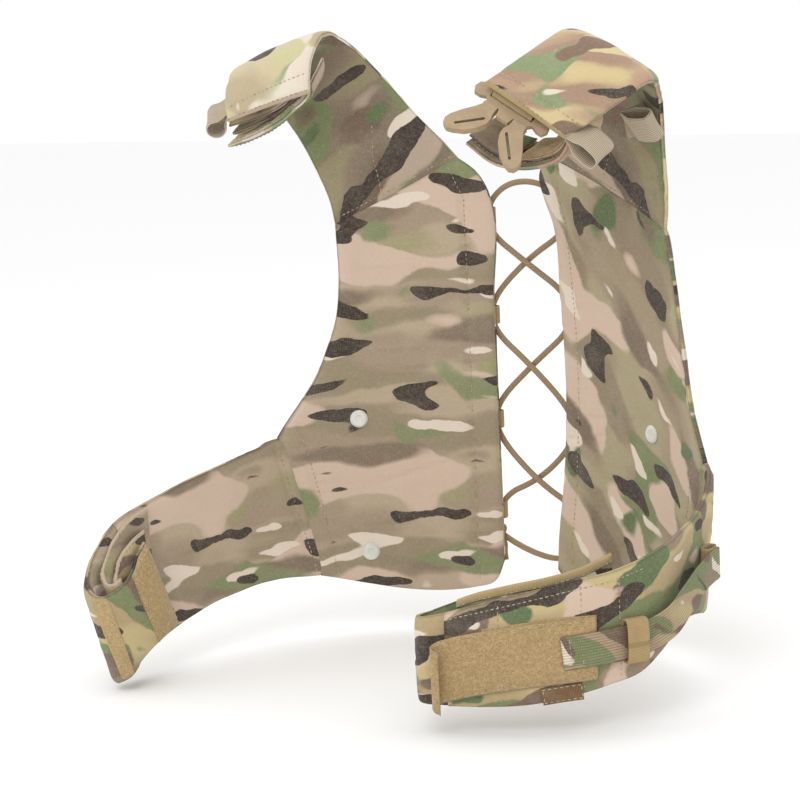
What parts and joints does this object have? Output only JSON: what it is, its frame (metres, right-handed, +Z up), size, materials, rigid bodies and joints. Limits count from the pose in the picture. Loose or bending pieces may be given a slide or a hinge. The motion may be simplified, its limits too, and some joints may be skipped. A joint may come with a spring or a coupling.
{
  "type": "safety harness vest",
  "caption": "Camouflage padded harness vest in its worn shape: cord-laced back panels, shoulder straps with elastic loops, a side-release buckle half and folding side wings.",
  "frame": {"origin": "middle of the wearer's torso at waist height", "axes": "+Z up; the wearer faces -Y, so the laced back panels are at +Y; +X is the wearer's left"},
  "size_m": [0.4877, 0.3125, 0.5152],
  "materials": {
    "lining_cloth": "faded camouflage ripstop, matte",
    "camo_cloth": "camouflage woven nylon, matte",
    "foam": "closed cell foam",
    "stiffener": "thin plastic sheet",
    "webbing": "woven nylon webbing",
    "tan_elastic": "ribbed woven elastic",
    "elastic_cord": "braided cover over elastic core",
    "hook_and_loop": "hook and loop tape",
    "label_cloth": "printed cloth label, left blank",
    "buckle_plastic": "tan moulded acetal",
    "snap_plastic": "white moulded caps"
  },
  "bodies": {
    "right_back": {"right_back_lining": "lining_cloth", "right_back_foam": "foam", "right_back_shell": "camo_cloth", "right_back_stiffener": "stiffener", "right_yoke_lining": "lining_cloth", "right_yoke_foam": "foam", "right_yoke_shell": "camo_cloth", "right_snap_caps": "snap_plastic", "right_lacing_loops": "webbing", "lacing_cord": "elastic_cord", "lacing_knot": "elastic_cord"},
    "left_back": {"left_back_lining": "lining_cloth", "left_back_foam": "foam", "left_back_shell": "camo_cloth", "left_back_stiffener": "stiffener", "left_yoke_lining": "lining_cloth", "left_yoke_foam": "foam", "left_yoke_shell": "camo_cloth", "left_snap_caps": "snap_plastic", "left_lacing_loops": "webbing", "left_side_loop": "tan_elastic"},
    "right_shoulder": {"right_strap_lining": "lining_cloth", "right_strap_foam": "foam", "right_strap_shell": "camo_cloth", "right_side_loop": "tan_elastic"},
    "right_strap_end": {"right_strap_flap": "camo_cloth"},
    "left_shoulder": {"left_strap_lining": "lining_cloth", "left_strap_foam": "foam", "left_strap_shell": "camo_cloth", "left_front_loop": "tan_elastic", "buckle_webbing": "webbing"},
    "left_strap_end": {"left_strap_flap": "camo_cloth"},
    "buckle": {"buckle_body": "buckle_plastic"},
    "buckle_neck_horn": {"buckle_neck_prong": "buckle_plastic"},
    "buckle_arm_horn": {"buckle_arm_prong": "buckle_plastic"},
    "right_wing": {"right_wing_lining": "lining_cloth", "right_wing_foam": "foam", "right_wing_shell": "camo_cloth"},
    "right_wing_end": {"right_wing_end_pad": "camo_cloth", "right_wing_hook_strip": "hook_and_loop", "right_wing_loop_tape": "hook_and_loop"},
    "left_wing": {"left_wing_lining": "lining_cloth", "left_wing_foam": "foam", "left_wing_shell": "camo_cloth", "left_girth_strap": "webbing", "left_hook_tape": "hook_and_loop", "left_blank_label": "label_cloth", "left_strap_anchor": "webbing"},
    "left_wing_end": {"left_wing_end_pad": "camo_cloth", "left_wing_end_tape": "hook_and_loop"},
    "hook_tab": {"left_hook_tab": "hook_and_loop"},
    "keeper": {"left_keeper": "tan_elastic"}
  },
  "joints": [
    {"name": "spine_fold", "type": "hinge", "parent": "right_back", "child": "left_back", "pos_m": [0, 0.112, 0.19], "axis": [0, 0, 1], "range_deg": [-15, 45], "stiffness_Nm_per_rad": 0.3, "deforming": ["lacing_cord"]},
    {"name": "right_shoulder_fold", "type": "hinge", "parent": "right_back", "child": "right_shoulder", "pos_m": [-0.1616, 0.0007, 0.4715], "axis": [-0.8886, -0.2752, -0.3669], "range_deg": [0, 60]},
    {"name": "left_shoulder_fold", "type": "hinge", "parent": "left_back", "child": "left_shoulder", "pos_m": [0.1309, 0.0006, 0.4655], "axis": [-0.864, 0.2843, 0.4156], "range_deg": [-12, 60]},
    {"name": "right_strap_end_fold", "type": "hinge", "parent": "right_shoulder", "child": "right_strap_end", "pos_m": [-0.131, -0.001, 0.452], "axis": [-0.0676, -0.8785, -0.473], "range_deg": [0, 35]},
    {"name": "left_strap_end_fold", "type": "hinge", "parent": "left_shoulder", "child": "left_strap_end", "pos_m": [0.112, -0.021, 0.408], "axis": [-0.3644, -0.8329, -0.4165], "range_deg": [-3, 35]},
    {"name": "buckle_pivot", "type": "hinge", "parent": "left_shoulder", "child": "buckle", "pos_m": [0.07133, -0.03995, 0.43059], "axis": [0.8455, 0.026, -0.5333], "range_deg": [-10, 25]},
    {"name": "neck_horn_squeeze", "type": "hinge", "parent": "buckle", "child": "buckle_neck_horn", "pos_m": [0.05998, -0.04802, 0.42719], "axis": [0.3689, -0.7506, 0.5482], "range_deg": [0, 6], "stiffness_Nm_per_rad": 0.1},
    {"name": "arm_horn_squeeze", "type": "hinge", "parent": "buckle", "child": "buckle_arm_horn", "pos_m": [0.0735, -0.0476, 0.41866], "axis": [-0.3689, 0.7506, -0.5482], "range_deg": [0, 6], "stiffness_Nm_per_rad": 0.1},
    {"name": "right_wing_fold", "type": "hinge", "parent": "right_back", "child": "right_wing", "pos_m": [-0.1875, 0.0236, 0.0865], "axis": [-0.1676, -0.188, 0.9678], "range_deg": [-20, 20]},
    {"name": "left_wing_fold", "type": "hinge", "parent": "left_back", "child": "left_wing", "pos_m": [0.1875, 0.0236, 0.0865], "axis": [0.1676, -0.188, 0.9678], "range_deg": [-20, 20]},
    {"name": "right_wing_end_fold", "type": "hinge", "parent": "right_wing", "child": "right_wing_end", "pos_m": [-0.252, -0.1498, 0.04], "axis": [0.0435, 0.0751, -0.9962], "range_deg": [0, 70]},
    {"name": "left_wing_end_fold", "type": "hinge", "parent": "left_wing", "child": "left_wing_end", "pos_m": [0.058, -0.173, 0.028], "axis": [0, 0, 1], "range_deg": [0, 50]},
    {"name": "hook_tab_peel", "type": "hinge", "parent": "left_wing", "child": "hook_tab", "pos_m": [0.0842, -0.1739, 0.025], "axis": [0, 0, 1], "range_deg": [0, 60]},
    {"name": "keeper_slide", "type": "slide", "parent": "left_wing", "child": "keeper", "axis": [-0.6033, -0.7975, 0], "range_m": [-0.003, 0.008]}
  ]
}
